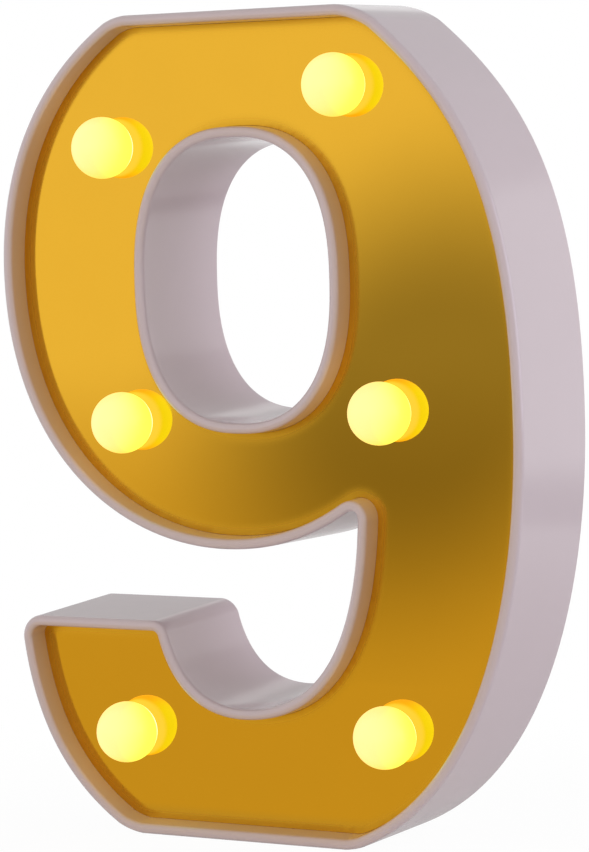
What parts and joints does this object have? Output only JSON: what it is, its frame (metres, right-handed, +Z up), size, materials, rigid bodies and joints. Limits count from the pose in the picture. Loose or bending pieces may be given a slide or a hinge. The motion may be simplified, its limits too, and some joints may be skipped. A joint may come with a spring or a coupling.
{
  "type": "light up marquee number",
  "caption": "Battery marquee numeral nine: white moulded tray with a gold mirror face, frosted ball bulbs, a counter opening, and a back cover with battery door and slide switch.",
  "frame": {"origin": "centre of the footprint, on the surface that the number stands on", "axes": "+X to the viewer's right across the face, -Y out of the lit face, +Z up"},
  "size_m": [0.154, 0.0468, 0.22],
  "materials": {
    "shell": "white injection moulded plastic, smooth gloss",
    "mirror": "gold mirror plastic sheet",
    "bulb": "frosted translucent plastic, lit warm white",
    "led": "clear epoxy, lit warm white",
    "steel": "zinc and nickel plated steel",
    "cell": "plain dark printed sleeve",
    "switch": "black moulded plastic, fine grain",
    "lead": "red insulated twin lead"
  },
  "bodies": {
    "housing": {"front_shell": "shell", "mirror_face": "mirror", "bulb_1": "bulb", "bulb_2": "bulb", "bulb_3": "bulb", "bulb_4": "bulb", "bulb_5": "bulb", "bulb_6": "bulb", "led_1": "led", "led_2": "led", "led_3": "led", "led_4": "led", "led_5": "led", "led_6": "led", "back_cover": "shell", "cover_screw_1": "steel", "cover_screw_2": "steel", "cover_screw_3": "steel", "cover_screw_4": "steel", "cover_screw_5": "steel", "cover_screw_6": "steel", "cover_screw_7": "steel", "cover_screw_8": "steel", "battery_cell_left": "cell", "battery_cell_right": "cell", "positive_contact": "steel", "negative_contact": "steel", "bridge_contact": "steel", "contact_spring_lower": "steel", "contact_spring_upper": "steel", "switch_body": "switch", "lead_1_to_2": "lead", "lead_1_to_3": "lead", "lead_2_to_4": "lead", "lead_4_to_6": "lead", "lead_6_to_5": "lead", "lead_box_to_switch": "lead", "lead_switch_to_6": "lead", "lead_box_to_4": "lead"},
    "battery_door": {"battery_door": "shell"},
    "switch_slider": {"switch_slider": "switch"}
  },
  "joints": [
    {"name": "battery_door_hinge", "type": "hinge", "parent": "housing", "child": "battery_door", "pos_m": [0.05077, 0.0234, 0.0749], "axis": [-1, 0, 0], "range_deg": [0, 60]},
    {"name": "switch_slide", "type": "slide", "parent": "housing", "child": "switch_slider", "axis": [1, 0, 0], "range_m": [0, 0.003]}
  ]
}
